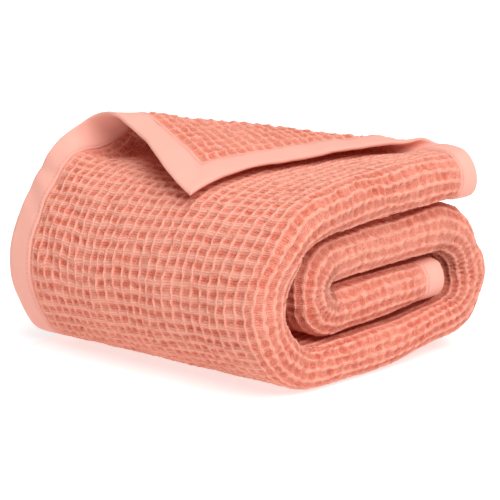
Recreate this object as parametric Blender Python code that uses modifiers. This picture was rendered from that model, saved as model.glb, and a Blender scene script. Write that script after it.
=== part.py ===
"""Waffle weave cotton blanket, bound on all four sides.

The blanket is folded in half and then in thirds into a strip of six leaves. The strip is rolled flat
into four layers, and the outermost leaf has one corner turned back over the top. Metres, +Z up. The
coil's axis runs along Y: its near end, with the folds, faces -Y. The free end of the strip points to +X.
"""
import math

import bpy
import bmesh
from mathutils import Vector

MM = 0.001

# Cloth and binding
CLOTH = 4.5 * MM              # lofty waffle weave
PRESSED = 1.3 * MM            # the same cloth, pressed flat inside the binding
TAPE = 0.8 * MM               # plain weave binding
TAPE_WIDTH = 22.0 * MM        # from the edge to the binding's inner fold
CLEAR = 0.60 * MM             # between the binding and the cloth
SWELL = 2.0 * MM              # beside the binding the cloth swells to its full thickness over this
MITRE = 0.9 * MM              # each binding's end stands this far off the corner's diagonal

# Strip of six leaves. Leaf 1 is outermost, leaf 6 innermost.
LENGTH = 300.0 * MM           # from the near folds to the far edge
LEAVES = 6
NEAR_ROUND = 0.80             # depth of a near fold, as a share of its half height
FAR_ROUND = 0.80
SECOND_EDGE = 7.0 * MM        # the second leaf's edge lies this far inside the first leaf's
FAR_FOLDS = 15.0 * MM         # the far folds lie this far inside the first leaf's edge
INNER_RECESS = 9.0 * MM       # near folds of the inner layers, back from the outer layers'
END_FLARE = 7.0 * MM          # the free end bulges this much at its near folds
PAD = (                       # place along the strip, strip thickness, shift off its middle line (mm)
    (0.0, 42.0, -1.5),
    (110.0, 45.0, 0.0),
    (230.0, 45.0, 0.0),
    (400.0, 38.0, 0.0),
    (580.0, 38.0, 0.0),
    (700.0, 44.0, 0.0),
    (930.0, 44.0, 0.0),
    (1050.0, 36.0, -3.0),
)

# Coil of the strip, seen on its near end and followed from the free end inward
COIL_START = (125.8 * MM, 154.623 * MM)
COIL = (                      # run, length or radius (mm), turn (degrees)
    ("top", 166.3, 0),
    ("shoulder", 220.0, 10.4),
    ("front bend", 66.55, 169.6),
    ("underside", 120.3, 0),
    ("underside rise", 180.0, 18),
    ("right bend", 41.1, 162),
    ("second layer", 135.1, 0),
    ("inner bend", 23.1, 180),
    ("third layer", 136.0, 0),
)

# Turned back corner of leaf 1. The crease runs from the free end to the far edge.
CREASE_NEAR = -111.0 * MM     # its start on the free end, along Y
CREASE_FAR = 216.0 * MM       # its end on the far edge, along the strip
LAID = 6.0 * MM               # rise of the turned back cloth over the leaf it lies on
CREST_RADIUS = (5.5 * MM, 27.0 * MM, 1.4)      # at its start, at its end, how late it opens
LIFT_ANGLE = (0.0, 24.0, 1.0)                  # degrees
LANDING_ANGLE = (8.5, 8.0, 1.0)               # degrees
LIFT_RADIUS = 26.0 * MM
LANDING_RADIUS = 68.0 * MM

# The pile has settled to a share of its height, over three lines across its plan
SETTLED_MIDDLE = -7.5 * MM    # X of the middle line
SETTLED_APART = 150.0 * MM    # X from line to line
SETTLED_NEAR = 0.90, 1.02, 1.00
SETTLED_FAR = 1.03, 0.89, 0.88

# Soft pulls of the settled pile, from a fit of its outline to the photograph
PULLS = (                     # centre x, y, z, reach x, y, z, shift in x, shift in z (mm)
    (-82, 150, 165, 34, 65, 60, -7.9, 8.5),
    (-36, 150, 200, 30, 60, 60, 0.0, -8.8),
    (18, 20, 195, 60, 60, 60, 0.3, 3.4),
    (-30, 85, 200, 45, 45, 60, 0.5, 2.1),
    (-150, 150, 130, 50, 90, 40, 8.2, 0.0),
    (-122, 150, 8, 32, 110, 18, -6.7, 0.0),
    (118, -112, 172, 34, 26, 60, 0.0, 6.1),
    (74, -150, 10, 38, 36, 30, 0.0, 9.5),
    (134, -150, 160, 20, 30, 60, -4.5, -2.8),
    (152, -150, 42, 30, 60, 40, -0.5, 8.1),
)

# Places of the mesh lines
EDGE_LINES = (0.0, TAPE_WIDTH + 0.5 * MM, TAPE_WIDTH + 0.5 * MM + SWELL)
STATIONS = (                  # run, lines along it
    ("top", 9),
    ("shoulder", 3),
    ("front bend", 9),
    ("underside", 1),
    ("underside rise", 2),
    ("right bend", 6),
    ("second layer", 1),
    ("inner bend", 6),
)
BEFORE_CREST = (44.0, 20.0, 8.0, 0.0)                # mm before the crease
PAST_CREST = (75.0, 46.0, 28.0, 18.0, 12.5, 8.0, 4.0)     # mm past the crease
FOLD_STEPS = 6, 5, 3, 3, 4                           # facets round each fold

# The five folds that make six leaves: leaf before, leaf after, end of the strip
FOLDS = (
    (1, 6, "near"),
    (6, 3, "far"),
    (3, 4, "near"),
    (4, 5, "far"),
    (5, 2, "near"),
)
ORDER = 1, 6, 3, 4, 5, 2


def smooth(a, b, x):
    t = min(1.0, max(0.0, (x - a) / (b - a)))
    return t * t * (3.0 - 2.0 * t)


def table(rows, x, column):
    """Value of a column of a short table at x, eased from row to row."""
    for low, high in zip(rows, rows[1:]):
        if x <= high[0]:
            return low[column] + (high[column] - low[column]) * smooth(low[0], high[0], x)
    return rows[-1][column]


def opening(values, share):
    """A size that grows along the crease."""
    start, end, late = values
    return start + (end - start) * min(1.2, max(0.0, share)) ** late


def parabola(a, b, c, u):
    """Value at u of the parabola through a, b and c at -1, 0 and 1."""
    return b + (c - a) / 2 * u + ((a + c) / 2 - b) * u * u


def coil_runs():
    """Each run's start and end along the strip, start point, heading and radius."""
    x, z = COIL_START
    heading = math.pi
    s = 0.0
    runs = {}
    for name, size, turn in COIL:
        size *= MM
        angle = math.radians(turn)
        length = size * angle if turn else size
        runs[name] = (s, s + length, x, z, heading, size if turn else 0.0)
        if turn:
            x += size * (math.sin(heading + angle) - math.sin(heading))
            z += size * (math.cos(heading) - math.cos(heading + angle))
            heading += angle
        else:
            x += size * math.cos(heading)
            z += size * math.sin(heading)
        s += length
    return runs


RUNS = coil_runs()
STRIP = RUNS["third layer"][1]


def coil(s):
    """Point on the strip's middle line and its outward direction, in the XZ plane."""
    for start, end, x, z, heading, radius in RUNS.values():
        if s <= end or end == STRIP:
            break
    along = s - start
    if radius:
        turned = heading + along / radius
        x += radius * (math.sin(turned) - math.sin(heading))
        z += radius * (math.cos(heading) - math.cos(turned))
        heading = turned
    else:
        x += along * math.cos(heading)
        z += along * math.sin(heading)
    return x, z, math.sin(heading), -math.cos(heading)


def level(s, leaf):
    """Offset of a leaf from the strip's middle line."""
    return (0.5 - (leaf - 1) / (LEAVES - 1)) * (table(PAD, s / MM, 1) * MM - CLOTH)


def recess(s):
    return INNER_RECESS * smooth(RUNS["right bend"][0], RUNS["second layer"][0], s)


def near_line(s):
    """Where the leaves turn into the near folds."""
    return -LENGTH / 2 + recess(s) + NEAR_ROUND * level(s, 1) + CLOTH / 2


def far_line(s, leaf=1):
    """Where a leaf ends, or turns into the far folds."""
    edge = LENGTH / 2 - TAPE - CLEAR - 0.5 * recess(s)
    if leaf == 1:
        return edge
    if leaf == 2:
        return edge - SECOND_EDGE
    return edge - FAR_FOLDS - FAR_ROUND * 0.6 * level(s, 1)


def crease_frame(s, y):
    """Place along the crease as a share, distance past it, its direction and its length."""
    length = math.hypot(CREASE_FAR, LENGTH / 2 - CREASE_NEAR)
    ux = CREASE_FAR / length
    uy = (LENGTH / 2 - CREASE_NEAR) / length
    dy = y - CREASE_NEAR
    return (s * ux + dy * uy) / length, dy * ux - s * uy, ux, uy, length


def settled(x, y, z):
    u = (x - SETTLED_MIDDLE) / SETTLED_APART
    near = parabola(*SETTLED_NEAR, u)
    far = parabola(*SETTLED_FAR, u)
    share = near + (far - near) * (y / LENGTH + 0.5)
    rest = CLOTH / 2
    return rest + (z - rest) * share


def pulled(x, y, z):
    """The point after the soft pulls. Each fades with the distance from its centre."""
    along = lift = 0.0
    for cx, cy, cz, rx, ry, rz, dx, dz in PULLS:
        gaps = (x / MM - cx) / rx, (y / MM - cy) / ry, (z / MM - cz) / rz
        near = math.exp(-sum(gap * gap for gap in gaps))
        along += dx * MM * near
        lift += dz * MM * near
    return Vector((x + along, y, z + lift))


def place(s, y, offset):
    """Point in the pile, from its place along the strip, along Y and off the strip's middle line."""
    s -= END_FLARE * smooth(-90 * MM, -135 * MM, y) * smooth(110 * MM, 0.0, s)
    x, z, nx, nz = coil(s)
    offset += table(PAD, s / MM, 2) * MM
    x += nx * offset
    z += nz * offset
    return pulled(x, y, settled(x, y, z))


def turned_back(s, y):
    """Where a point of leaf 1 goes: along the strip, along Y and rise over the flat leaf."""
    share, past, ux, uy, length = crease_frame(s, y)
    radius = opening(CREST_RADIUS, share)
    lift = math.radians(opening(LIFT_ANGLE, share))
    land = math.radians(opening(LANDING_ANGLE, share))
    start = -LIFT_RADIUS * lift
    if past <= start:
        return s, y, 0.0
    angle = min(1.0, (past - start) / -start) * lift if lift else 0.0
    across = start + LIFT_RADIUS * math.sin(angle)
    rise = LIFT_RADIUS * (1 - math.cos(angle))
    if past > 0.0:
        # Over the crest, down a slope, and flat again
        angle = min(past / radius, math.pi + land - lift)
        across += radius * (math.sin(lift + angle) - math.sin(lift))
        rise += radius * (math.cos(lift) - math.cos(lift + angle))
        past -= radius * angle
        foot = LAID + LANDING_RADIUS * (1 - math.cos(land))
        slope = min(past, max(0.0, (rise - foot) / math.sin(land)))
        across -= slope * math.cos(land)
        rise -= slope * math.sin(land)
        past -= slope
        angle = min(past / LANDING_RADIUS, land)
        across -= LANDING_RADIUS * (math.sin(land) - math.sin(land - angle))
        rise -= LANDING_RADIUS * (math.cos(land - angle) - math.cos(land))
        across -= past - LANDING_RADIUS * angle
    along = share * length
    return along * ux - across * uy, CREASE_NEAR + along * uy + across * ux, rise


def turn_line(s, end):
    return near_line(s) if end == "near" else far_line(s, 3)


def blanket(s, across):
    """Point on the blanket's middle surface.

    s runs along the strip. across counts leaves and folds: 0 to 1 is leaf 1 from its far edge to the
    near folds, 1 to 2 the fold into leaf 6, 2 to 3 leaf 6, and so on to leaf 2's far edge at 11.
    """
    piece = min(max(int(math.floor(across)), 0), 2 * len(FOLDS))
    part = across - piece
    if piece % 2:
        before, after, end = FOLDS[piece // 2]
        a, b = level(s, before), level(s, after)
        if end == "near":
            deep = -NEAR_ROUND * abs(a - b) / 2
        else:
            deep = FAR_ROUND * abs(a - b) / 2
        y = turn_line(s, end) + deep * math.sin(math.pi * part)
        return place(s, y, (a + b) / 2 + (a - b) / 2 * math.cos(math.pi * part))
    leaf = ORDER[piece // 2]
    start = far_line(s) if leaf == 1 else turn_line(s, FOLDS[piece // 2 - 1][2])
    stop = far_line(s, 2) if leaf == 2 else turn_line(s, FOLDS[piece // 2][2])
    y = start + (stop - start) * part
    if leaf == 1:
        s, y, rise = turned_back(s, y)
        return place(s, y, level(s, 1) + rise)
    return place(s, y, level(s, leaf))


def stations():
    """Places of the mesh lines along the strip."""
    found = list(EDGE_LINES)
    for name, count in STATIONS:
        start, end = RUNS[name][:2]
        start = max(start, EDGE_LINES[-1])
        found += [start + (end - start) * (i + 1) / count for i in range(count)]
    return found + [STRIP - line for line in reversed(EDGE_LINES)]


def lines_across(s):
    """Places of the mesh lines across the blanket. On leaf 1 they follow the crease."""
    depth = far_line(s) - near_line(s)
    share, past, ux, uy, length = crease_frame(s, far_line(s))
    edge = EDGE_LINES[-1] / depth
    crest = min(0.93, max(edge + 0.12, past / ux / depth))
    beyond = min(1.0, (crest - edge) / (PAST_CREST[0] * MM / ux / depth) * 0.88)
    room = (1.0 - crest) / (BEFORE_CREST[0] * MM / ux / depth)
    before = min(0.85 * room, max(1.0, 0.62 * room))
    found = [line / depth for line in EDGE_LINES]
    found += [crest - line * MM / ux / depth * beyond for line in PAST_CREST]
    found += [crest + line * MM / ux / depth * before for line in reversed(BEFORE_CREST)]
    for fold, steps in enumerate(FOLD_STEPS):
        found += [2 * fold + 1 + i / steps for i in range(steps + 1)]
    depth = far_line(s, 2) - near_line(s)
    return found + [11 - line / depth for line in reversed(EDGE_LINES)]


def grid(name, rows, columns, at, falling=()):
    """An open sheet with its vertices at at(row, column).

    Its squares are split along the rising diagonal, and in the falling columns along the other one.
    """
    bm = bmesh.new()
    bmesh.ops.create_grid(bm, x_segments=rows - 1, y_segments=columns - 1, size=1.0)
    for vert in bm.verts:
        row = round((vert.co.x + 1) / 2 * (rows - 1))
        column = round((vert.co.y + 1) / 2 * (columns - 1))
        vert.co = at(row, column)
        vert.index = row * columns + column
    bm.verts.sort()
    for face in list(bm.faces):
        corners = sorted(face.verts, key=lambda vert: vert.index)
        across = corners[0].index % columns in falling
        bmesh.utils.face_split(face, *(corners[1:3] if across else corners[::3]))
    mesh = bpy.data.meshes.new(name)
    bm.to_mesh(mesh)
    bm.free()
    return bpy.data.objects.new(name, mesh)


def shell(obj, thickness, even):
    solid = obj.modifiers.new("Thickness", "SOLIDIFY")
    solid.thickness = thickness
    solid.offset = 0.0
    solid.use_even_offset = even
    return solid


def waffle_cloth():
    places = stations()
    lines = [lines_across(s) for s in places]
    count = len(lines[0])
    obj = grid("waffle_cloth", len(places), count, lambda i, j: blanket(places[i], lines[i][j]))
    lofty = [i * count + j for i in range(2, len(places) - 2) for j in range(2, count - 2)]
    obj.vertex_groups.new(name="lofty").add(lofty, 1.0, "REPLACE")
    solid = shell(obj, CLOTH, True)
    solid.vertex_group = "lofty"
    solid.thickness_vertex_group = PRESSED / CLOTH
    return obj


def beside(s, across, offset):
    """Point off the blanket's middle surface, square to it."""
    step = 0.2 * MM
    turn = 0.001
    along = blanket(s + step, across) - blanket(s - step, across)
    over = blanket(s, across + turn) - blanket(s, across - turn)
    return blanket(s, across) + along.cross(over).normalized() * offset


# Across the binding: distance in from the cloth's edge, and offset from the cloth's middle surface
TAPE_OFFSET = PRESSED / 2 + CLEAR + TAPE / 2
TAPE_SECTION = (
    (TAPE_WIDTH, TAPE_OFFSET),
    (-CLEAR - TAPE / 2, TAPE_OFFSET),
    (-CLEAR - TAPE / 2, -TAPE_OFFSET),
    (TAPE_WIDTH, -TAPE_OFFSET),
)


def side_binding(name, leaf):
    """Binding on a far edge, folded over it. Its ends are mitred."""
    places = stations()[2:-2]
    places = [None] + places + [None]

    def at(i, j):
        inward, offset = TAPE_SECTION[j]
        s = places[i]
        if i == 0:
            s = inward + MITRE
        if i == len(places) - 1:
            s = STRIP - inward - MITRE
        part = inward / (far_line(s, leaf) - near_line(s))
        return beside(s, part if leaf == 1 else 11 - part, offset)

    falling = (0,) if leaf == 1 else (2,)
    return shell(grid(name, len(places), len(TAPE_SECTION), at, falling), TAPE, False).id_data


def end_binding(name, at_start):
    """Binding on an end of the strip, through all its folds. Its ends are mitred."""
    count = len(lines_across(0.0))

    def at(i, j):
        inward, offset = TAPE_SECTION[j]
        s = inward if at_start else STRIP - inward
        across = lines_across(s)[i + 1]
        if i == 0:
            across = (inward + MITRE) / (far_line(s) - near_line(s))
        if i == count - 3:
            across = 11 - (inward + MITRE) / (far_line(s, 2) - near_line(s))
        return beside(s, across, offset)

    falling = (0,) if at_start else (2,)
    return shell(grid(name, count - 2, len(TAPE_SECTION), at, falling), TAPE, False).id_data


def material(name, colour, roughness):
    made = bpy.data.materials.new(name)
    made.use_nodes = True
    shader = made.node_tree.nodes["Principled BSDF"]
    shader.inputs["Base Color"].default_value = (*colour, 1.0)
    shader.inputs["Roughness"].default_value = roughness
    shader.inputs["Metallic"].default_value = 0.0
    made.diffuse_color = (*colour, 1.0)
    return made


def main():
    for obj in list(bpy.data.objects):
        bpy.data.objects.remove(obj, do_unlink=True)
    collection = bpy.data.collections.new("waffle_blanket")
    bpy.context.scene.collection.children.link(collection)
    waffle = (0.72, 0.24, 0.18), 0.95
    plain = (0.86, 0.38, 0.31), 0.85
    pieces = (
        (waffle_cloth(), waffle),
        (side_binding("binding_side_outer", 1), plain),
        (side_binding("binding_side_inner", 2), plain),
        (end_binding("binding_end_outer", True), plain),
        (end_binding("binding_end_inner", False), plain),
    )
    for obj, (colour, roughness) in pieces:
        obj.data.materials.append(material(obj.name, colour, roughness))
        collection.objects.link(obj)


main()
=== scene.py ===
"""Waffle weave cotton blanket, folded and rolled flat, with one corner turned back.

Run as a script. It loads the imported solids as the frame, builds the waffle cloth, its bindings and their
stitches over them, and sets up the studio. Metres, +Z up, in the solids' own frame.
"""
import math

import bmesh
import bpy
import numpy as np
from bpy.props import FloatProperty, FloatVectorProperty, PointerProperty
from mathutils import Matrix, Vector


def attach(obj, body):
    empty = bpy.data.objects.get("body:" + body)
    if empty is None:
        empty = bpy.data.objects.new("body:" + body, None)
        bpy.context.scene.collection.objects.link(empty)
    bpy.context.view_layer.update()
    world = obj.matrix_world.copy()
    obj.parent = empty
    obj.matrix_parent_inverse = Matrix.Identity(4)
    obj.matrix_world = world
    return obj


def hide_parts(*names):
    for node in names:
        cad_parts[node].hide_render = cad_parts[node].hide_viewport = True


bl_info = {
    "name": "Waffle Blanket",
    "version": (1, 0, 0),
    "blender": (4, 5, 0),
    "location": "View3D > Sidebar > Blanket",
    "description": "A folded waffle weave blanket with bound edges, and its studio",
    "category": "Add Mesh",
}

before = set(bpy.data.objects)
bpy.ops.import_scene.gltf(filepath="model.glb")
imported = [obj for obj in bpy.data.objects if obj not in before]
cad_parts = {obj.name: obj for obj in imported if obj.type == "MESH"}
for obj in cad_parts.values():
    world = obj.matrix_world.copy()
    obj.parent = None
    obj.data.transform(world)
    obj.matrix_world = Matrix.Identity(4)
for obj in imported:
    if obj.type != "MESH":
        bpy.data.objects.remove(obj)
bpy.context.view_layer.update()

MM = 0.001

# ---------------------------------------------------------------------------
# Folded shape, in the sizes of the solids
# ---------------------------------------------------------------------------
CLOTH = 4.5 * MM
TAPE_WIDTH = 22.0 * MM
LENGTH = 300.0 * MM
LEAVES = 6
NEAR_ROUND = 0.80
FAR_ROUND = 0.80
SECOND_EDGE = 7.0 * MM
FAR_FOLDS = 15.0 * MM
INNER_RECESS = 9.0 * MM
END_FLARE = 7.0 * MM
EDGE_IN = 1.4 * MM            # the cloth's edge inside the binding
PAD = (                       # place along the strip, strip thickness, shift off its middle line (mm)
    (0.0, 42.0, -1.5),
    (110.0, 45.0, 0.0),
    (230.0, 45.0, 0.0),
    (400.0, 38.0, 0.0),
    (580.0, 38.0, 0.0),
    (700.0, 44.0, 0.0),
    (930.0, 44.0, 0.0),
    (1050.0, 36.0, -3.0),
)
COIL_START = (125.8 * MM, 154.623 * MM)
COIL = (                      # run, length or radius (mm), turn (degrees)
    ("top", 166.3, 0),
    ("shoulder", 220.0, 10.4),
    ("front bend", 66.55, 169.6),
    ("underside", 120.3, 0),
    ("underside rise", 180.0, 18),
    ("right bend", 41.1, 162),
    ("second layer", 135.1, 0),
    ("inner bend", 23.1, 180),
    ("third layer", 136.0, 0),
)
CREASE_NEAR = -111.0 * MM
CREASE_FAR = 216.0 * MM
LAID = 6.0 * MM
LAID_PRESS = 1.8 * MM         # the turned back corner's edge is pressed down by this
TIP_SLIDE = 6.0 * MM          # and its tip has slid down the roll by this
CREST_RADIUS = (5.5 * MM, 27.0 * MM, 1.4)      # at its start, at its end, how late it opens
LIFT_ANGLE = (0.0, 24.0, 1.0)                  # degrees
LANDING_ANGLE = (8.5, 8.0, 1.0)                # degrees
LIFT_RADIUS = 26.0 * MM
LANDING_RADIUS = 68.0 * MM
SETTLED_MIDDLE = -7.5 * MM
SETTLED_APART = 150.0 * MM
SETTLED_NEAR = 0.90, 1.02, 1.00
SETTLED_FAR = 1.03, 0.89, 0.88
# Soft pulls of the settled pile, from a fit of its outline to the photograph
PULLS = (                     # centre x, y, z, reach x, y, z, shift in x, shift in z (mm)
    (-82, 150, 165, 34, 65, 60, -7.9, 8.5),
    (-36, 150, 200, 30, 60, 60, 0.0, -8.8),
    (18, 20, 195, 60, 60, 60, 0.3, 3.4),
    (-30, 85, 200, 45, 45, 60, 0.5, 2.1),
    (-150, 150, 130, 50, 90, 40, 8.2, 0.0),
    (-122, 150, 8, 32, 110, 18, -6.7, 0.0),
    (118, -112, 172, 34, 26, 60, 0.0, 6.1),
    (74, -150, 10, 38, 36, 30, 0.0, 9.5),
    (134, -150, 160, 20, 30, 60, -4.5, -2.8),
    (152, -150, 42, 30, 60, 40, -0.5, 8.1),
    # Set after that, and not in the solids
    (-55, 110, 190, 18, 15, 60, 0.0, -5.0),
    (-76, 141, 185, 18, 18, 60, 0.0, 2.5),
    (-118, 150, 146, 30, 40, 44, 3.0, -1.0),
    (-33, 84, 195, 26, 26, 60, 0.0, 4.5),
    (106, -88, 175, 18, 18, 60, 0.0, -4.0),
    (138, -128, 165, 14, 20, 60, 0.0, 4.0),
    (-104, -150, 86, 13, 70, 44, 12.0, 0.0),
)
FOLDS = (                     # leaf before, leaf after, end of the strip
    (1, 6, "near"),
    (6, 3, "far"),
    (3, 4, "near"),
    (4, 5, "far"),
    (5, 2, "near"),
)
ORDER = 1, 6, 3, 4, 5, 2


def smooth(a, b, x):
    t = np.clip((x - a) / (b - a), 0.0, 1.0)
    return t * t * (3.0 - 2.0 * t)


def table(rows, x, column):
    """Value of a column of a short table at x, eased from row to row."""
    keys = np.array([row[0] for row in rows])
    values = np.array([row[column] for row in rows])
    i = np.clip(np.searchsorted(keys, x) - 1, 0, len(rows) - 2)
    t = np.clip((x - keys[i]) / (keys[i + 1] - keys[i]), 0.0, 1.0)
    return values[i] + (values[i + 1] - values[i]) * t * t * (3.0 - 2.0 * t)


def opening(values, share):
    """A size that grows along the crease."""
    start, end, late = values
    return start + (end - start) * np.clip(share, 0.0, 1.2) ** late


def parabola(a, b, c, u):
    """Value at u of the parabola through a, b and c at -1, 0 and 1."""
    return b + (c - a) / 2 * u + ((a + c) / 2 - b) * u * u


def coil_runs():
    """Rows of start and end along the strip, start point, heading and curvature, and the runs' starts."""
    x, z = COIL_START
    heading = math.pi
    s = 0.0
    rows = []
    starts = {}
    for name, size, turn in COIL:
        size *= MM
        angle = math.radians(turn)
        length = size * angle if turn else size
        starts[name] = s
        rows.append((s, x, z, heading, 1 / size if turn else 0.0))
        if turn:
            x += size * (math.sin(heading + angle) - math.sin(heading))
            z += size * (math.cos(heading) - math.cos(heading + angle))
            heading += angle
        else:
            x += size * math.cos(heading)
            z += size * math.sin(heading)
        s += length
    return np.array(rows), starts, s


RUNS, STARTS, STRIP = coil_runs()


def coil(s):
    """Point on the strip's middle line and its outward direction, in the XZ plane."""
    row = RUNS[np.clip(np.searchsorted(RUNS[:, 0], s, side="right") - 1, 0, len(RUNS) - 1)]
    start, x, z, heading, bend = np.moveaxis(row, -1, 0)
    along = s - start
    turned = heading + along * bend
    safe = np.where(bend > 0, bend, 1.0)
    x = x + np.where(bend > 0, (np.sin(turned) - np.sin(heading)) / safe, along * np.cos(heading))
    z = z + np.where(bend > 0, (np.cos(heading) - np.cos(turned)) / safe, along * np.sin(heading))
    return x, z, np.sin(turned), -np.cos(turned)


def level(s, leaf):
    """Offset of a leaf from the strip's middle line."""
    return (0.5 - (leaf - 1) / (LEAVES - 1)) * (table(PAD, s / MM, 1) * MM - CLOTH)


def recess(s):
    return INNER_RECESS * smooth(STARTS["right bend"], STARTS["second layer"], s)


def near_line(s):
    """Where the leaves turn into the near folds."""
    return -LENGTH / 2 + recess(s) + NEAR_ROUND * level(s, 1) + CLOTH / 2


def far_line(s, leaf=1):
    """Where a leaf ends, or turns into the far folds."""
    edge = LENGTH / 2 - EDGE_IN - 0.5 * recess(s)
    if leaf == 1:
        return edge
    if leaf == 2:
        return edge - SECOND_EDGE
    return edge - FAR_FOLDS - FAR_ROUND * 0.6 * level(s, 1)


def crease_frame(s, y):
    """Place along the crease as a share, distance past it, its direction and its length."""
    length = math.hypot(CREASE_FAR, LENGTH / 2 - CREASE_NEAR)
    ux = CREASE_FAR / length
    uy = (LENGTH / 2 - CREASE_NEAR) / length
    dy = y - CREASE_NEAR
    return (s * ux + dy * uy) / length, dy * ux - s * uy, ux, uy, length


def place(s, y, offset):
    """Point in the pile, from its place along the strip, along Y and off the strip's middle line."""
    s = s - END_FLARE * smooth(-90 * MM, -135 * MM, y) * smooth(110 * MM, 0.0, s)
    x, z, nx, nz = coil(s)
    offset = offset + table(PAD, s / MM, 2) * MM
    x = x + nx * offset
    z = z + nz * offset
    u = (x - SETTLED_MIDDLE) / SETTLED_APART
    near = parabola(*SETTLED_NEAR, u)
    far = parabola(*SETTLED_FAR, u)
    rest = CLOTH / 2
    z = rest + (z - rest) * (near + (far - near) * (y / LENGTH + 0.5))
    along = lift = 0.0
    for cx, cy, cz, rx, ry, rz, dx, dz in np.array(PULLS, float) * MM:
        near = np.exp(-(((x - cx) / rx) ** 2) - ((y - cy) / ry) ** 2 - ((z - cz) / rz) ** 2)
        along = along + dx * near
        lift = lift + dz * near
    return np.stack(np.broadcast_arrays(x + along, y, z + lift), axis=-1)


def turned_back(s, y):
    """Where a point of leaf 1 goes: along the strip, along Y and rise over the flat leaf."""
    share, past, ux, uy, length = crease_frame(s, y)
    radius = opening(CREST_RADIUS, share)
    lift = np.radians(opening(LIFT_ANGLE, share))
    land = np.radians(opening(LANDING_ANGLE, share))
    start = -LIFT_RADIUS * lift
    angle = np.clip((past - start) / np.maximum(-start, 1e-9), 0.0, 1.0) * lift
    across = start + LIFT_RADIUS * np.sin(angle)
    rise = LIFT_RADIUS * (1 - np.cos(angle))
    # Over the crest, down a slope, and flat again
    left = np.maximum(past, 0.0)
    angle = np.minimum(left / radius, math.pi + land - lift)
    across = across + radius * (np.sin(lift + angle) - np.sin(lift))
    rise = rise + radius * (np.cos(lift) - np.cos(lift + angle))
    left = left - radius * angle
    foot = LAID + LANDING_RADIUS * (1 - np.cos(land))
    slope = np.minimum(left, np.maximum(0.0, (rise - foot) / np.sin(land)))
    across = across - slope * np.cos(land)
    rise = rise - slope * np.sin(land)
    left = left - slope
    angle = np.minimum(left / LANDING_RADIUS, land)
    across = across - LANDING_RADIUS * (np.sin(land) - np.sin(land - angle))
    rise = rise - LANDING_RADIUS * (np.cos(land - angle) - np.cos(land))
    across = across - (left - LANDING_RADIUS * angle)
    along = share * length
    flat = past <= start
    return (
        np.where(flat, s, along * ux - across * uy),
        np.where(flat, y, CREASE_NEAR + along * uy + across * ux),
        np.where(flat, 0.0, rise),
    )


def turn_line(s, end):
    return near_line(s) if end == "near" else far_line(s, 3)


def leaf_y(s, across, piece):
    """Y on a leaf's flat part, before its corner is turned back."""
    leaf = ORDER[piece // 2]
    start = far_line(s) if leaf == 1 else turn_line(s, FOLDS[piece // 2 - 1][2])
    stop = far_line(s, 2) if leaf == 2 else turn_line(s, FOLDS[piece // 2][2])
    return start + (stop - start) * (across - piece)


def blanket(s, across):
    """Points on the blanket's middle surface.

    s runs along the strip. across counts leaves and folds: 0 to 1 is leaf 1 from its far edge to the
    near folds, 1 to 2 the fold into leaf 6, 2 to 3 leaf 6, and so on to leaf 2's far edge at 11.
    """
    s, across = np.broadcast_arrays(np.asarray(s, float), np.asarray(across, float))
    pieces = np.clip(np.floor(across).astype(int), 0, 2 * len(FOLDS))
    points = np.empty(s.shape + (3,))
    for piece in np.unique(pieces):
        here = pieces == piece
        si, ai = s[here], across[here]
        if piece % 2:
            before, after, end = FOLDS[piece // 2]
            a, b = level(si, before), level(si, after)
            deep = (-NEAR_ROUND if end == "near" else FAR_ROUND) * np.abs(a - b) / 2
            turn = np.pi * (ai - piece)
            points[here] = place(
                si, turn_line(si, end) + deep * np.sin(turn), (a + b) / 2 + (a - b) / 2 * np.cos(turn)
            )
            continue
        y = leaf_y(si, ai, piece)
        if ORDER[piece // 2] == 1:
            corner = np.hypot(si, LENGTH / 2 - y)
            si, y, rise = turned_back(si, y)
            si = si + TIP_SLIDE * smooth(110 * MM, 15 * MM, corner)
            points[here] = place(si, y, level(si, 1) + rise)
        else:
            points[here] = place(si, y, level(si, ORDER[piece // 2]))
    return points


def facing(surface, s, across):
    """Unit normals of a surface on the cloth's face side."""
    step, turn = 0.3 * MM, 0.0012
    along = surface(s + step, across) - surface(s - step, across)
    over = surface(s, across + turn) - surface(s, across - turn)
    normal = np.cross(along, over)
    return normal / np.maximum(np.linalg.norm(normal, axis=-1, keepdims=True), 1e-12)


# ---------------------------------------------------------------------------
# Unevenness
# ---------------------------------------------------------------------------
def swells(x, y, size, seed, count=8):
    """Smooth unevenness, mostly between -1 and 1, with swells of about this size."""
    draw = np.random.default_rng(seed)
    total = 0.0
    for _ in range(count):
        heading, wave, phase = draw.uniform(0, math.tau), draw.uniform(0.7, 1.5), draw.uniform(0, math.tau)
        reach = math.tau / size * wave
        total = total + np.sin(reach * (x * math.cos(heading) + y * math.sin(heading)) + phase)
    return total / math.sqrt(count)


# Main creases of leaf 1: s and y of the start, s and y of the end, half width, height (mm)
CREASES = (
    (222, 144, 246, 74, 4, 1.0),
    (232, 146, 262, 84, 3.5, -1.2),
    (243, 146, 278, 92, 4, 1.0),
    (254, 146, 296, 96, 3.5, -1.1),
    (266, 146, 316, 90, 4, 0.7),
    (140, 30, 215, -40, 22, 1.0),
    (90, -40, 170, -100, 20, -1.0),
    (330, 20, 420, -60, 26, 1.2),
    (250, -60, 300, -120, 22, 0.9),
    (618, -146, 640, -108, 7, 2.2),
    (646, -146, 652, -96, 6, -2.0),
    (668, -146, 676, -110, 8, 2.0),
    (700, -146, 712, -112, 8, 1.4),
)


def creased(s, y):
    """Height of the main creases at a place on leaf 1, soft across and along."""
    total = 0.0
    for s0, y0, s1, y1, wide, high in CREASES:
        ds, dy = (s1 - s0) * MM, (y1 - y0) * MM
        t = ((s - s0 * MM) * ds + (y - y0 * MM) * dy) / (ds * ds + dy * dy)
        gap = np.hypot(s - s0 * MM - t * ds, y - y0 * MM - t * dy)
        total = total + high * MM * np.exp(-((gap / (wide * MM)) ** 2)) * smooth(-0.35, 0.2, t) * smooth(1.35, 0.8, t)
    return total


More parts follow.
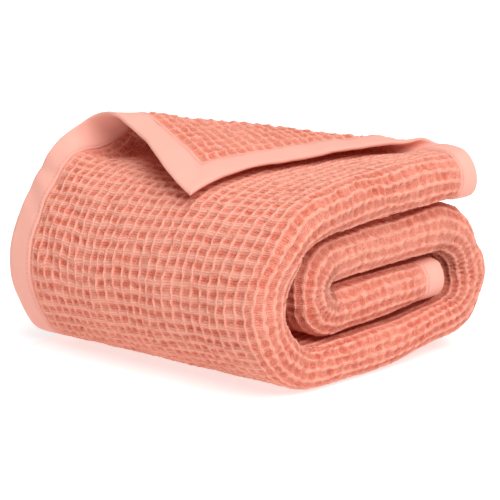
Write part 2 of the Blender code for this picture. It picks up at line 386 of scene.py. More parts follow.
def cloth_surface(s, across):
    """The blanket's middle surface with its creases and swells."""
    base = blanket(s, across)
    s, across = np.broadcast_arrays(np.asarray(s, float), np.asarray(across, float))
    outer = smooth(2.0, 1.2, across)
    y = np.where(across <= 1.0, leaf_y(s, across, 0), near_line(s) - (across - 1.0) * 45 * MM)
    soft = 0.5 * MM * swells(s, y, 0.075, 11) + 0.35 * MM * swells(s, y, 0.032, 12)
    clear = smooth(4 * MM, 24 * MM, base[..., 2])
    lift = (creased(s, y) + soft) * outer * clear + 0.35 * MM * swells(s, across, 0.06, 13) * (1 - outer)
    past = crease_frame(s, y)[1]
    lift = lift + LAID_PRESS * smooth(70 * MM, 10 * MM, s) * smooth(-30 * MM, 40 * MM, y) * smooth(
        40 * MM, 90 * MM, past) * (across <= 1.0)
    return base + facing(blanket, s, across) * lift[..., None]


# ---------------------------------------------------------------------------
# Waffle cells
# ---------------------------------------------------------------------------
def outer_path():
    """Length along leaf 1 at each of many places along the strip."""
    s = np.linspace(0.0, STRIP, 3000)
    x, z, nx, nz = coil(s)
    offset = level(s, 1)
    steps = np.hypot(np.diff(x + nx * offset), np.diff(z + nz * offset))
    return s, np.concatenate([[0.0], np.cumsum(steps)])


def part_lengths(s=0.1):
    """Length across of each leaf and fold."""
    lengths = []
    for piece in range(2 * len(FOLDS) + 1):
        points = blanket(s, np.linspace(piece + 1e-6, piece + 1 - 1e-6, 60)) if piece else None
        if piece:
            lengths.append(float(np.linalg.norm(np.diff(points, axis=0), axis=1).sum()))
        else:
            lengths.append(float(far_line(s) - near_line(s)))
    return lengths


# How far the cloth is stretched along the strip: place (mm), share of a cell's length
STRETCH = (
    (0.0, 0.88),
    (170.0, 0.93),
    (260.0, 1.06),
    (400.0, 1.06),
    (480.0, 0.86),
    (1050.0, 0.84),
)
FAR_CELL = 0.86               # a cell at leaf 1's far edge, as a share of one at its near folds
SKEW = (                      # place along the strip (mm), rows' lead at the near folds (mm)
    (30.0, 0.0),
    (250.0, 26.0),
    (420.0, 24.0),
    (620.0, 0.0),
)


class CellGrid:
    """Cell coordinates: u counts cells along the strip, v counts cells across the blanket."""

    def __init__(self, along, across, outer):
        self.outer = outer
        self.s, lengths = outer_path()
        if not outer:
            lengths = self.s
        cells = np.diff(lengths) / (along * table(STRETCH, self.s[1:] / MM, 1))
        self.u = np.concatenate([[0.0], np.cumsum(cells)])
        self.u *= round(self.u[-1]) / self.u[-1]
        self.counts = [max(2, round(length / across)) for length in part_lengths()]
        self.v = np.concatenate([[0], np.cumsum(self.counts)]).astype(float)

    def place(self, u, v):
        s = np.interp(u, self.u, self.s)
        across = np.interp(v, self.v, np.arange(len(self.v)))
        first = np.clip(across, 0.0, 1.0)
        across = np.where(across < 1.0, first * (FAR_CELL + (1 - FAR_CELL) * first), across)
        lead = table(SKEW, s / MM, 1) * MM * smooth(0.0, 1.2, across) * smooth(10.0, 2.3, across)
        return (s - lead if self.outer else s), across

    def row(self, s):
        return float(np.interp(s, self.s, self.u))

    def column(self, across):
        return float(np.interp(across, np.arange(len(self.v)), self.v))


def ribs(u, v, broad, thin, height):
    """Share of rib at a place in the cells: 1 on the ribs, 0 in the pockets.

    The ribs between rows are broad and soft, of this height, and the ribs that run along the strip thin.
    """
    row = (0.5 + 0.5 * np.cos(math.tau * u)) ** broad
    line = (0.5 + 0.5 * np.cos(math.tau * v)) ** thin
    return 1 - (1 - height * row) * (1 - line)


def cell_draw(u, v, seed):
    """A random number for each cell, between 0 and 1."""
    draw = np.random.default_rng(seed).random((160, 220))
    return draw[np.floor(u).astype(int) % 160, np.floor(v).astype(int) % 220]


def reverse_shown(s, across):
    """Share of the cloth's reverse among the ribs: where leaf 1 is turned back, and on the inner leaves."""
    y = leaf_y(s, np.minimum(across, 1.0), 0)
    share, past = crease_frame(s, y)[:2]
    flap = smooth(-14 * MM, 8 * MM, past) * (across <= 1.0)
    return np.where(across <= 2.3, flap, np.where(across >= 10.0, 1.0, 0.0))


def waffle_piece(name, grid, rows, columns, row_steps, column_steps, look):
    """A sheet of waffle cloth between cell rows and columns, as a mesh with its relief."""
    first, last = rows
    u = [i + step for i in range(int(first), int(last)) for step in row_steps] + [last]
    left, right = columns
    v = [i + step for i in range(int(left), int(right)) for step in column_steps(i)] + [right]
    u, v = np.meshgrid(np.array(u, float), np.array(v, float), indexing="ij")
    wander = look.wander
    inside = smooth(0.3, 2.5, u) * smooth(0.3, 2.5, v)
    du = wander * (0.7 * swells(u, v, 9.0, 21) + 0.35 * swells(u, v, 2.6, 22)) * inside
    dv = wander * (0.7 * swells(u, v, 8.0, 23) + 0.32 * swells(u, v, 1.9, 24)) * inside
    dv = dv + look.slant * np.sin(math.tau * (u + 0.25 * swells(u, v, 6.0, 25))) * inside
    s, across = grid.place(u + du, v + dv)
    base = cloth_surface(s, across)
    normal = np.cross(np.gradient(base, axis=0), np.gradient(base, axis=1))
    normal /= np.maximum(np.linalg.norm(normal, axis=-1, keepdims=True), 1e-12)
    # Ribs along the strip are thin on the taut leaf 1 and fuller on the folds and inner leaves
    slack = smooth(0.94, 1.12, across) * smooth(10.2, 9.9, across)
    thin = look.thin + (2.6 - look.thin) * slack
    face = ribs(u, v, look.broad, thin, 0.95 - 0.4 * slack)
    back = np.maximum(ribs(u + 0.5, v + 0.5, 3.0, look.thin, 0.85), 0.45 * ribs(u, v, 4.0, look.thin, 0.9))
    turned = reverse_shown(s, across)
    depth = 1.0 - look.uneven * cell_draw(u, v, 31) * (1 - face)
    depth_back = 1.0 - look.uneven * cell_draw(u + 0.5, v + 0.5, 32) * (1 - back)
    height = (1 - turned) * (2 * (1 - (1 - face) * depth) - 1) - turned * (2 * (1 - (1 - back) * depth_back) - 1)
    # The binding presses the cloth flat
    edge = far_line(s) - leaf_y(s, across, 0)
    second = far_line(s, 2) - leaf_y(s, np.maximum(across, 10.0), 10)
    inward = np.minimum(s, STRIP - s)
    inward = np.minimum(inward, np.where(across <= 1.0, edge, inward))
    inward = np.minimum(inward, np.where(across >= 10.0, second, inward))
    free = smooth(TAPE_WIDTH - 2 * MM, TAPE_WIDTH + 7 * MM, inward)
    half = look.relief / 2 * (1 + 0.12 * swells(u, v, 5.0, 33))
    loops = np.random.default_rng(34).normal(0.0, 1.0, u.shape) * look.loops * free
    points = base + normal * (height * half * (0.2 + 0.8 * free) + loops)[..., None]
    obj = sheet_mesh(name, points, u, v)
    # Share of the ribs' pale colour against the pockets' painted shade: more painted shade on the folds and inner
    # leaves, the thin ribs a little darker, and an even share where the binding presses the cloth flat
    shown = (1 - turned) * face ** (1 + 0.9 * slack) + turned * back ** 2.2
    shown = shown * (1 + 0.25 * swells(u, v, 1.1, 35) + 0.15 * swells(u, v, 0.45, 36))
    line = (0.5 + 0.5 * np.cos(math.tau * v)) ** look.thin
    shown = shown - 0.14 * line * (1 - turned)
    store(obj, "line", (1 - turned) * line + turned * (0.5 + 0.5 * np.cos(math.tau * (v + 0.5))) ** look.thin)
    tint = cell_draw(u, v, 41) * 0.6 + 0.4 * (0.5 + 0.5 * swells(u, v, 12.0, 42))
    store(obj, "rib", shown * free + 0.75 * (1 - free))
    store(obj, "tint", tint)
    return obj


def sheet_mesh(name, points, u, v):
    """A mesh of squares with its vertices at points[row, column], and cell coordinates as its UV map."""
    rows, columns = points.shape[:2]
    bm = bmesh.new()
    bmesh.ops.create_grid(bm, x_segments=rows - 1, y_segments=columns - 1, size=1.0)
    bm.loops.layers.uv.new("cells")
    mesh = bpy.data.meshes.new(name)
    bm.to_mesh(mesh)
    bm.free()
    flat = np.empty(rows * columns * 3)
    mesh.vertices.foreach_get("co", flat)
    flat = flat.reshape(-1, 3)
    i = np.rint((flat[:, 0] + 1) / 2 * (rows - 1)).astype(int)
    j = np.rint((flat[:, 1] + 1) / 2 * (columns - 1)).astype(int)
    mesh.vertices.foreach_set("co", points[i, j].ravel())
    corners = np.empty(len(mesh.loops), int)
    mesh.loops.foreach_get("vertex_index", corners)
    uv = np.stack([u[i, j], v[i, j]], axis=-1)[corners]
    mesh.uv_layers["cells"].data.foreach_set("uv", uv.ravel())
    mesh.shade_smooth()
    mesh.update()
    obj = bpy.data.objects.new(name, mesh)
    bpy.context.scene.collection.objects.link(obj)
    ORDERS[name] = (i, j)
    return obj


ORDERS = {}


def store(obj, name, values):
    """Keeps a value for each vertex under a name, for the material."""
    i, j = ORDERS[obj.name]
    kept = obj.data.attributes.new(name, "FLOAT", "POINT")
    kept.data.foreach_set("value", values[i, j].astype(np.float32))


# ---------------------------------------------------------------------------
# Bindings and stitches
# ---------------------------------------------------------------------------
# Across the binding on one side: distance in from the cloth's edge, offset from its middle surface (mm)
BINDING_HALF = (
    (22.6, -0.4),
    (22.4, 1.1),
    (21.6, 1.95),
    (19.8, 1.75),
    (18.0, 2.0),
    (13.0, 2.1),
    (7.0, 2.1),
    (2.0, 2.05),
    (-0.4, 1.9),
    (-1.4, 1.3),
    (-1.8, 0.0),
)


def beside(s, across, offset):
    """Points off the cloth's surface, square to it."""
    return cloth_surface(s, across) + facing(cloth_surface, s, across) * offset[..., None]


def binding_section():
    half = np.array(BINDING_HALF) * MM
    other = half[-2::-1] * (1, -1)
    return np.concatenate([half, other])


def binding_surface(kind, along, inward, offset):
    """Points on a binding. along is s on a side binding, and across on an end binding."""
    if kind in ("side 1", "side 2"):
        leaf = int(kind[-1])
        part = inward / (far_line(along, leaf) - near_line(along))
        return beside(along, part if leaf == 1 else 11 - part, offset)
    s = inward if kind == "end start" else STRIP - inward
    return beside(s, along, offset)


def binding_rows(kind, step):
    """Places along a binding for each row, and for each point across it, with mitred ends."""
    inward = binding_section()[:, 0]
    if kind in ("side 1", "side 2"):
        low, high = TAPE_WIDTH + 1 * MM, STRIP - TAPE_WIDTH - 1 * MM
        first, final = inward, STRIP - inward
        middle = np.linspace(low, high, round((high - low) / step))
    else:
        s = inward if kind == "end start" else STRIP - inward
        first = inward / (far_line(s) - near_line(s))
        final = 11 - inward / (far_line(s, 2) - near_line(s))
        places = [
            np.linspace(piece, piece + 1, max(8, round(length / step)), endpoint=False)
            for piece, length in enumerate(part_lengths(0.011))
        ]
        middle = np.concatenate(places)
        low, high = 0.084, 11 - 0.084
        middle = np.concatenate([[low], middle[(middle > low + 0.01) & (middle < high - 0.01)], [high]])
    rows = [first + (middle[0] - first) * k / 7 for k in range(7)]
    rows += [np.full(len(inward), m) for m in middle]
    rows += [middle[-1] + (final - middle[-1]) * k / 7 for k in range(1, 8)]
    return np.array(rows)


def binding_piece(name, kind, look):
    section = binding_section()
    along = binding_rows(kind, look.step)
    inward = np.broadcast_to(section[:, 0], along.shape)
    run = along if kind.startswith("side") else along * 0.16
    pucker = swells(run, inward * 0.35, 0.011, 51) * 0.16 * MM + swells(run, inward * 0.5, 0.03, 52) * 0.2 * MM
    seam = np.exp(-(((inward - 20.5 * MM) / (3.0 * MM)) ** 2))
    offset = np.broadcast_to(section[:, 1], along.shape)
    offset = offset + np.sign(offset) * (pucker * (0.35 + 0.9 * seam)) * (np.abs(offset) > 1.2 * MM)
    wave = swells(run, 0 * run, 0.02, 53) * 0.35 * MM * seam
    points = binding_surface(kind, along, inward + wave, offset)
    lengths = np.concatenate([[0], np.cumsum(np.linalg.norm(np.diff(points[:, 5], axis=0), axis=1))])
    u = np.broadcast_to((lengths / (10 * MM))[:, None], along.shape)
    v = np.broadcast_to(np.cumsum(np.r_[0, np.hypot(*np.diff(section, axis=0).T)]) / (10 * MM), along.shape)
    obj = sheet_mesh(name, points, u, v)
    store(obj, "seam", np.exp(-(((inward - 19.8 * MM) / (1.1 * MM)) ** 2)))
    return obj, float(lengths[-1])


def stitch_piece(name, kind, look):
    """A row of stitches on each face of a binding, near its inner edge."""
    step = look.stitch * 1.35
    rows = binding_rows(kind, look.step)[:, 0]
    fine = np.linspace(0, 1, 4000)
    along = np.interp(fine, np.linspace(0, 1, len(rows)), rows)
    inward = np.full(along.shape, 19.8 * MM)
    bm = bmesh.new()
    ring = 5
    for side in (1, -1):
        line = binding_surface(kind, along, inward, np.full(along.shape, side * 1.95 * MM))
        out = binding_surface(kind, along, inward, np.full(along.shape, side * 2.95 * MM)) - line
        length = np.concatenate([[0], np.cumsum(np.linalg.norm(np.diff(line, axis=0), axis=1))])
        for start in np.arange(3 * MM, length[-1] - 5 * MM, step):
            stops = start + look.stitch * np.array([0.0, 0.12, 0.5, 0.88, 1.0])
            centre = np.stack([np.interp(stops, length, line[:, k]) for k in range(3)], axis=-1)
            up = np.stack([np.interp(stops, length, out[:, k]) for k in range(3)], axis=-1)
            up /= np.linalg.norm(up, axis=1, keepdims=True)
            go = (centre[-1] - centre[0]) / max(np.linalg.norm(centre[-1] - centre[0]), 1e-9)
            aside = np.cross(up, go)
            size = np.array([0.05, 0.8, 1.0, 0.8, 0.05]) * look.thread / 2
            sink = np.array([-0.35, -0.05, 0.1, -0.05, -0.35]) * MM
            verts = []
            for k in range(5):
                turn = math.tau * np.arange(ring) / ring
                p = centre[k] + up[k] * sink[k]
                p = p + size[k] * (np.cos(turn)[:, None] * aside[k] + np.sin(turn)[:, None] * up[k])
                verts.append([bm.verts.new(q) for q in p])
            for a, b in zip(verts, verts[1:]):
                for k in range(ring):
                    bm.faces.new((a[k], a[(k + 1) % ring], b[(k + 1) % ring], b[k]))
            bm.faces.new(verts[0][::-1])
            bm.faces.new(verts[-1])
    bmesh.ops.recalc_face_normals(bm, faces=bm.faces)
    mesh = bpy.data.meshes.new(name)
    bm.to_mesh(mesh)
    bm.free()
    mesh.shade_smooth()
    obj = bpy.data.objects.new(name, mesh)
    bpy.context.scene.collection.objects.link(obj)
    return obj


# ---------------------------------------------------------------------------
# Materials
# ---------------------------------------------------------------------------
class Nodes:
    """Short calls for a material's nodes."""

    def __init__(self, name):
        self.material = bpy.data.materials.new(name)
        self.material.use_nodes = True
        self.tree = self.material.node_tree
        self.shader = self.tree.nodes["Principled BSDF"]

    def add(self, kind, inputs=(), **settings):
        node = self.tree.nodes.new(kind)
        for key, value in settings.items():
            setattr(node, key, value)
        for key, value in dict(inputs).items():
            if isinstance(value, bpy.types.NodeSocket):
                self.tree.links.new(value, node.inputs[key])
            else:
                node.inputs[key].default_value = value
        return node

    def math(self, operation, a, b=0.5, c=None):
        inputs = {0: a, 1: b}
        if c is not None:
            inputs[2] = c
        return self.add("ShaderNodeMath", inputs, operation=operation).outputs[0]

    def mix(self, share, a, b, blend="MIX"):
        node = self.add("ShaderNodeMix", data_type="RGBA", blend_type=blend)
        for socket, value in ((0, share), (6, a), (7, b)):
            if isinstance(value, bpy.types.NodeSocket):
                self.tree.links.new(value, node.inputs[socket])
            else:
                node.inputs[socket].default_value = value if socket == 0 else (*value[:3], 1.0)
        return node.outputs[2]

    def attribute(self, name):
        return self.add("ShaderNodeAttribute", attribute_name=name).outputs["Fac"]

    def cells(self, scale):
        uv = self.add("ShaderNodeUVMap", uv_map="cells").outputs[0]
        return self.add("ShaderNodeMapping", {"Vector": uv, "Scale": scale}).outputs[0]

    def threads(self, count, direction):
        """Ridges of threads, this many in each cell."""
        return self.add(
            "ShaderNodeTexWave",
            {"Vector": self.cells((1, 1, 1)), "Scale": count * 0.314159, "Distortion": 1.2,
             "Detail": 1.0, "Detail Scale": 1.5, "Detail Roughness": 0.5},
            wave_type="BANDS", bands_direction=direction, wave_profile="SIN",
        ).outputs["Fac"]

    def noise(self, scale, detail=2.0):
        place = self.add("ShaderNodeTexCoord").outputs["Object"]
        return self.add(
            "ShaderNodeTexNoise", {"Vector": place, "Scale": scale, "Detail": detail}
        ).outputs["Fac"]

    def bump(self, height, distance, strength=1.0):
        node = self.add("ShaderNodeBump", {"Height": height, "Distance": distance, "Strength": strength})
        self.tree.links.new(node.outputs[0], self.shader.inputs["Normal"])

    def set(self, **values):
        for name, value in values.items():
            socket = self.shader.inputs[name.replace("_", " ").title().replace("Ior", "IOR")]
            if isinstance(value, bpy.types.NodeSocket):
                self.tree.links.new(value, socket)
            else:
                socket.default_value = value


def waffle_material(colours):
    """Honeycomb weave: pale floats on the ribs, painted shade in the pockets, cotton threads with painted shade
    between them and painted highlights on some.
    """
    made = Nodes("waffle_cotton")
    # The pockets take the painted shade colour, the ribs the cotton's own pale colour
    rib = made.attribute("rib")
    share = made.add("ShaderNodeMapRange", {0: rib, 1: 0.1, 2: 0.85}).outputs[0]
    base = made.mix(share, tuple(colours.pocket_shade), tuple(colours.rib))
    tint = made.add("ShaderNodeMapRange", {0: made.attribute("tint"), 1: 0.15, 2: 0.85, 3: 0.0, 4: 0.42})
    base = made.mix(tint.outputs[0], base, tuple(colours.rib))
    cloud = made.add("ShaderNodeMapRange", {0: made.noise(22.0, 3.0), 1: 0.3, 2: 0.7, 3: 0.0, 4: 0.16})
    base = made.mix(cloud.outputs[0], base, tuple(colours.rib))
    # Threads: along the strip on the thin ribs, across it on the row ribs, with painted shade in the deep colour
    # between them
    weft = made.threads(5, "X")
    warp = made.threads(5, "Y")
    line = made.attribute("line")
    both = made.add("ShaderNodeMix", {0: line, 2: weft, 3: warp}).outputs[0]
    grain = made.add("ShaderNodeMapRange", {0: both, 1: 0.05, 2: 0.8, 3: 0.26, 4: 0.0})
    base = made.mix(grain.outputs[0], base, tuple(colours.deep))
    # Painted shade in small holes where the floats part, at the pockets' rims
    fleck = made.noise(520.0, 3.0)
    hole_shade = made.add("ShaderNodeMapRange", {0: fleck, 1: 0.5, 2: 0.68, 3: 0.0, 4: 0.5})
    rim = made.add("ShaderNodeMapRange", {0: rib, 1: 0.5, 2: 0.05, 3: 0.15, 4: 1.0})
    base = made.mix(made.math("MULTIPLY", hole_shade.outputs[0], rim.outputs[0]), base, tuple(colours.deep))
    # Painted highlights on single threads, in the binding's paler colour
    thread_glint = made.add("ShaderNodeMapRange", {0: made.noise(430.0, 2.0), 1: 0.5, 2: 0.7, 3: 0.0, 4: 0.35})
    base = made.mix(thread_glint.outputs[0], base, tuple(colours.binding))
    # A faint red light of its own stands for light through the loose weave, and reddens the hollows
    made.set(base_color=base, emission_color=(0.55, 0.05, 0.02, 1.0), emission_strength=0.05,
             roughness=0.92, sheen_weight=0.18, sheen_roughness=0.55,
             sheen_tint=(*colours.rib[:3], 1.0), specular_ior_level=0.2)
    made.bump(made.math("ADD", both, made.math("MULTIPLY", made.noise(900.0, 3.0), 1.4)), 0.0006, 0.9)
    return made.material


def binding_material(colours):
    """Smooth plain weave: fine threads both ways, softly uneven, darker in the seam."""
    made = Nodes("plain_cotton")
    weft = made.threads(22, "X")
    warp = made.threads(22, "Y")
    weave = made.math("MULTIPLY", weft, warp)
    shade = made.add("ShaderNodeMapRange", {0: weave, 1: 0.0, 2: 0.8, 3: 0.16, 4: 0.0})
    base = made.mix(shade.outputs[0], tuple(colours.binding), tuple(colours.pocket_shade))
    cloud = made.add("ShaderNodeMapRange", {0: made.noise(30.0, 3.0), 1: 0.35, 2: 0.7, 3: 0.0, 4: 0.14})
    base = made.mix(cloud.outputs[0], base, tuple(colours.rib))
    seam = made.math("MULTIPLY", made.attribute("seam"), 0.22)
    base = made.mix(seam, base, tuple(colours.deep))
    made.set(base_color=base, roughness=0.85, sheen_weight=0.15, sheen_roughness=0.5,
             sheen_tint=(*colours.binding[:3], 1.0), specular_ior_level=0.25)
    made.bump(made.math("ADD", weave, made.math("MULTIPLY", made.noise(900.0, 2.0), 0.8)), 0.00022, 0.6)
    return made.material


def thread_material(colours):
    made = Nodes("stitching_thread")
    twist = made.add("ShaderNodeMapRange", {0: made.noise(2500.0, 1.0), 1: 0.3, 2: 0.7, 3: 0.0, 4: 0.5})
    base = made.mix(twist.outputs[0], tuple(colours.binding), tuple(colours.rib))
    made.set(base_color=base, roughness=0.7, sheen_weight=0.1, specular_ior_level=0.3)
    made.bump(made.noise(2500.0, 1.0), 0.0002, 0.5)
    return made.material


def floor_material(colour, glow):
    made = Nodes("studio_floor")
    grain = made.add("ShaderNodeMapRange", {0: made.noise(3.0, 2.0), 3: 0.0, 4: 0.03})
    base = made.mix(grain.outputs[0], tuple(colour), tuple(c * 0.97 for c in colour))
    made.set(base_color=base, roughness=0.9, specular_ior_level=0.1, emission_color=(1.0, 1.0, 1.0, 1.0),
             emission_strength=glow)
    return made.material


def kept_material(maker, colours):
    """The material with this maker, made once."""
    found = MATERIALS.get(maker.__name__)
    if found is None:
        found = MATERIALS[maker.__name__] = maker(colours)
    return found


MATERIALS = {}


# ---------------------------------------------------------------------------
# Settings
# ---------------------------------------------------------------------------
def size_property(name, description, default):
    return FloatProperty(name=name, description=description, default=default, min=0.0, unit="LENGTH",
                         subtype="DISTANCE", precision=4)


def colour_property(name, description, default):
    return FloatVectorProperty(name=name, description=description, default=default, min=0.0, max=1.0,
                               size=3, subtype="COLOR")


class WaffleClothSettings(bpy.types.PropertyGroup):
    cell_along: size_property("Cell Length", "One waffle cell along the strip", 0.011)
    cell_across: size_property("Cell Width", "One waffle cell across the blanket", 0.0097)
    relief: size_property("Relief", "From the pockets' floor to the ribs' top", 0.0040)
    loops: size_property("Loops", "Unevenness of the single threads", 0.00018)
    broad: FloatProperty(name="Row Ribs", description="Narrowness of the ribs between rows", default=1.15)
    thin: FloatProperty(name="Line Ribs", description="Narrowness of the ribs along the strip", default=7.0)
    slant: FloatProperty(name="Slant", description="Sway of the thin ribs in each row, in cells", default=0.05)
    wander: FloatProperty(name="Wander", description="How far the ribs stray, in cells", default=0.16)
    uneven: FloatProperty(name="Uneven Pockets", description="How much some pockets are shallower",
                          default=0.75, subtype="FACTOR", min=0.0, max=1.0)


class BindingSettings(bpy.types.PropertyGroup):
    step: size_property("Row Spacing", "Between rows of the binding's mesh", 0.0035)
    stitch: size_property("Stitch Length", "Length of one stitch", 0.0032)
    thread: size_property("Thread", "Thickness of the sewing thread", 0.0006)


class ColourSettings(bpy.types.PropertyGroup):
    rib: colour_property("Ribs", "Cotton on the ribs", (0.94, 0.44, 0.33))
    # The pockets' colour is painted shade; the binding's weave takes it as painted shade between its threads too
    pocket_shade: colour_property("Pockets", "Cotton in the pockets", (0.66, 0.145, 0.085))
    deep: colour_property("Between Threads", "Shade between the threads", (0.44, 0.055, 0.03))
    binding: colour_property("Binding", "Plain weave of the binding", (0.93, 0.475, 0.39))


class StudioSettings(bpy.types.PropertyGroup):
    azimuth: FloatProperty(name="Azimuth", description="Camera's turn round the blanket, in degrees",
                           default=-47.59)
    elevation: FloatProperty(name="Elevation", description="Camera's height, in degrees", default=14.35)
    distance: size_property("Distance", "From the camera to the blanket's middle", 4.981)
    lens: FloatProperty(name="Lens", description="Focal length, in millimetres", default=406.06)
    target: FloatVectorProperty(name="Target", description="Point that the camera looks at",
                                default=(-0.0031, 0.0, 0.0874), size=3, subtype="XYZ", unit="LENGTH")
    floor: colour_property("Floor", "Colour of the floor", (0.62, 0.62, 0.62))
    floor_glow: FloatProperty(name="Floor Glow", description="Strength of the light that the floor itself gives off",
                              default=0.6)
    surround: FloatProperty(name="Surround", description="Strength of the light from all round", default=0.2)
    key: FloatProperty(name="Key", description="Strength of the soft main light", default=1.25)
    key_side: FloatProperty(name="Key Side", description="Side that the main light comes from, in degrees",
                            default=80.0)
    key_height: FloatProperty(name="Key Height", description="Height of the main light, in degrees",
                              default=63.0)
    key_spread: FloatProperty(name="Key Spread", description="Width of the main light, in degrees", default=30.0)
    fill: FloatProperty(name="Fill", description="Strength of the soft second light", default=2.8)
    fill_side: FloatProperty(name="Fill Side", description="Side that the second light comes from, in degrees",
                             default=-27.0)
    fill_height: FloatProperty(name="Fill Height", description="Height of the second light, in degrees",
                               default=50.0)
    fill_spread: FloatProperty(name="Fill Spread", description="Width of the second light, in degrees",
                               default=45.0)


class BlanketSettings(bpy.types.PropertyGroup):
    cloth: PointerProperty(type=WaffleClothSettings)
    binding: PointerProperty(type=BindingSettings)
    colours: PointerProperty(type=ColourSettings)
    studio: PointerProperty(type=StudioSettings)


# ---------------------------------------------------------------------------
# Operators
# ---------------------------------------------------------------------------
FINE_ROW = (0.0, 0.15, 0.33, 0.5, 0.67, 0.85)
FINE_LINE = (0.0, 0.06, 0.13, 0.27, 0.5, 0.73, 0.87, 0.94)
PLAIN_STEPS = (0.0, 0.12, 0.33, 0.5, 0.67, 0.88)
COARSE_ROW = (0.0, 0.25, 0.5, 0.75)
COARSE_STEPS = (0.0, 0.5)
FOLD_STEPS = (0.0, 0.25, 0.5, 0.75)


def cloth_operator_piece(context, name, outer, rows, columns, row_steps, column_steps):
    look = context.scene.blanket.cloth
    grid = CellGrid(look.cell_along, look.cell_across, outer)
    bounds = [grid.row(s) for s in rows] + [grid.column(a) for a in columns]
    u0, u1, v0, v1 = (round(b) for b in bounds)
    steps = column_steps if callable(column_steps) else lambda cell: column_steps
    obj = waffle_piece(name, grid, (u0, u1), (v0, v1), row_steps, steps, look)
    obj.data.materials.append(kept_material(waffle_material, context.scene.blanket.colours))
    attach(obj, "root")
    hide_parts("waffle_cloth")
    across = np.concatenate([[0.0], np.cumsum(part_lengths())])
    return obj


class BLANKET_OT_outer_cloth(bpy.types.Operator):
    """Build the outer leaf with the near folds, all along the roll"""

    bl_idname = "blanket.outer_cloth"
    bl_label = "Outer Leaf"

    def execute(self, context):
        cloth_operator_piece(context, "waffle_outer_front", True, (0.011, 0.46), (0.035, 2.15), FINE_ROW,
                             FINE_LINE)
        cloth_operator_piece(context, "waffle_outer_under", True, (0.46, 0.76), (0.035, 2.15), PLAIN_STEPS,
                             PLAIN_STEPS)
        cloth_operator_piece(context, "waffle_outer_core", True, (0.76, STRIP - 0.011), (0.035, 2.15),
                             PLAIN_STEPS, PLAIN_STEPS)
        return {"FINISHED"}


class BLANKET_OT_inner_cloth(bpy.types.Operator):
    """Build the leaves and folds inside the strip"""

    bl_idname = "blanket.inner_cloth"
    bl_label = "Inner Leaves"

    def execute(self, context):
        look = context.scene.blanket.cloth
        grid = CellGrid(look.cell_along, look.cell_across, False)
        folds = [(grid.v[k] - 1, grid.v[k + 1]) for k in range(1, 11, 2)]

        def steps(cell):
            return FOLD_STEPS if any(a <= cell <= b for a, b in folds) else COARSE_STEPS

        cloth_operator_piece(context, "waffle_inner_outside", False, (0.011, 0.5), (2.15, 10.0), COARSE_ROW,
                             steps)
        cloth_operator_piece(context, "waffle_inner_core", False, (0.5, STRIP - 0.011), (2.15, 10.0),
                             COARSE_ROW, steps)
        cloth_operator_piece(context, "waffle_second_leaf", False, (0.011, 0.30), (10.0, 10.965), FINE_ROW,
                             PLAIN_STEPS)
        cloth_operator_piece(context, "waffle_second_rest", False, (0.30, STRIP - 0.011), (10.0, 10.965),
                             COARSE_ROW, COARSE_STEPS)
        return {"FINISHED"}


BINDINGS = (                  # piece, solid, kind
    ("binding_outer_side", "binding_side_outer", "side 1"),
    ("binding_inner_side", "binding_side_inner", "side 2"),
    ("binding_outer_end", "binding_end_outer", "end start"),
    ("binding_inner_end", "binding_end_inner", "end stop"),
)


class BLANKET_OT_bindings(bpy.types.Operator):
    """Build the plain weave bindings and their stitches"""

    bl_idname = "blanket.bindings"
    bl_label = "Bindings"

    def execute(self, context):
        settings = context.scene.blanket
        for name, solid, kind in BINDINGS:
            obj, length = binding_piece(name, kind, settings.binding)
            obj.data.materials.append(kept_material(binding_material, settings.colours))
            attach(obj, "root")
            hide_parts(solid)
            stitches = stitch_piece(name.replace("binding", "stitches"), kind, settings.binding)
            stitches.data.materials.append(kept_material(thread_material, settings.colours))
            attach(stitches, "root")
        return {"FINISHED"}


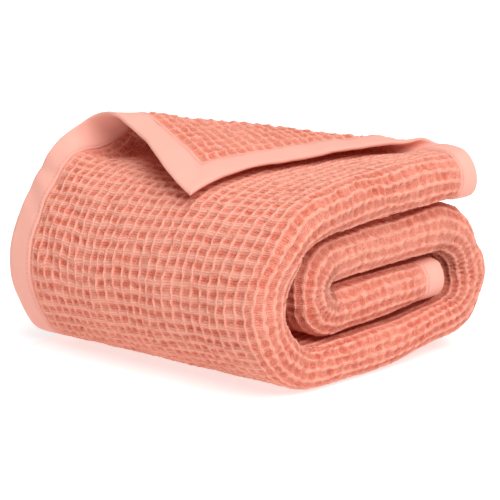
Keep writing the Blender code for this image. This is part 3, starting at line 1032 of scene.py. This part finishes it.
class BLANKET_OT_studio(bpy.types.Operator):
    """Set the floor, the soft lights and the camera"""

    bl_idname = "blanket.studio"
    bl_label = "Studio"

    def execute(self, context):
        studio = context.scene.blanket.studio
        bm = bmesh.new()
        bmesh.ops.create_grid(bm, x_segments=40, y_segments=40, size=30.0)
        mesh = bpy.data.meshes.new("studio_floor")
        bm.to_mesh(mesh)
        bm.free()
        floor = bpy.data.objects.new("studio_floor", mesh)
        floor.data.materials.append(floor_material(studio.floor, studio.floor_glow))
        context.scene.collection.objects.link(floor)
        world = bpy.data.worlds.new("studio_surround")
        world.use_nodes = True
        world.node_tree.nodes["Background"].inputs["Color"].default_value = (1.0, 1.0, 1.0, 1.0)
        world.node_tree.nodes["Background"].inputs["Strength"].default_value = studio.surround
        context.scene.world = world
        soft_light(context, "key_light", studio.key_side, studio.key_height, studio.key_spread, studio.key)
        soft_light(context, "fill_light", studio.fill_side, studio.fill_height, studio.fill_spread, studio.fill)
        camera = bpy.data.objects.new("camera", bpy.data.cameras.new("camera"))
        camera.data.sensor_width = 36.0
        camera.data.lens = studio.lens
        camera.data.clip_start = 0.1
        camera.data.clip_end = 100.0
        turn, rise = math.radians(studio.azimuth), math.radians(studio.elevation)
        back = Vector((math.sin(turn) * math.cos(rise), -math.cos(turn) * math.cos(rise), math.sin(rise)))
        camera.location = Vector(studio.target) + back * studio.distance
        camera.rotation_mode = "QUATERNION"
        camera.rotation_quaternion = (-back).to_track_quat("-Z", "Y")
        context.scene.collection.objects.link(camera)
        context.scene.camera = camera
        context.scene.view_settings.view_transform = "Standard"
        return {"FINISHED"}


def soft_light(context, name, side, height, spread, strength):
    """A far, wide light, from this side and height, in degrees."""
    light = bpy.data.lights.new(name, "SUN")
    light.angle = math.radians(spread)
    light.energy = strength
    obj = bpy.data.objects.new(name, light)
    turn, rise = math.radians(side), math.radians(height)
    back = Vector((math.sin(turn) * math.cos(rise), -math.cos(turn) * math.cos(rise), math.sin(rise)))
    obj.location = back * 3.0
    obj.rotation_mode = "QUATERNION"
    obj.rotation_quaternion = (-back).to_track_quat("-Z", "Y")
    context.scene.collection.objects.link(obj)
    return obj


class BLANKET_PT_panel(bpy.types.Panel):
    """Sizes and colours, and a button for each step"""

    bl_label = "Waffle Blanket"
    bl_idname = "BLANKET_PT_panel"
    bl_space_type = "VIEW_3D"
    bl_region_type = "UI"
    bl_category = "Blanket"

    def draw(self, context):
        settings = context.scene.blanket
        for title, group in (("Cloth", settings.cloth), ("Binding", settings.binding),
                             ("Colours", settings.colours), ("Studio", settings.studio)):
            box = self.layout.box()
            box.label(text=title)
            for name in group.__annotations__:
                box.prop(group, name)
        for step in STEPS:
            self.layout.operator(step.bl_idname)


STEPS = (BLANKET_OT_outer_cloth, BLANKET_OT_inner_cloth, BLANKET_OT_bindings, BLANKET_OT_studio)
CLASSES = (
    WaffleClothSettings,
    BindingSettings,
    ColourSettings,
    StudioSettings,
    BlanketSettings,
    *STEPS,
    BLANKET_PT_panel,
)


def register():
    for cls in CLASSES:
        bpy.utils.register_class(cls)
    bpy.types.Scene.blanket = PointerProperty(type=BlanketSettings)


def unregister():
    del bpy.types.Scene.blanket
    for cls in reversed(CLASSES):
        bpy.utils.unregister_class(cls)


def main():
    register()
    bpy.ops.blanket.outer_cloth()
    bpy.ops.blanket.inner_cloth()
    bpy.ops.blanket.bindings()
    bpy.ops.blanket.studio()


if __name__ == "__main__":
    main()
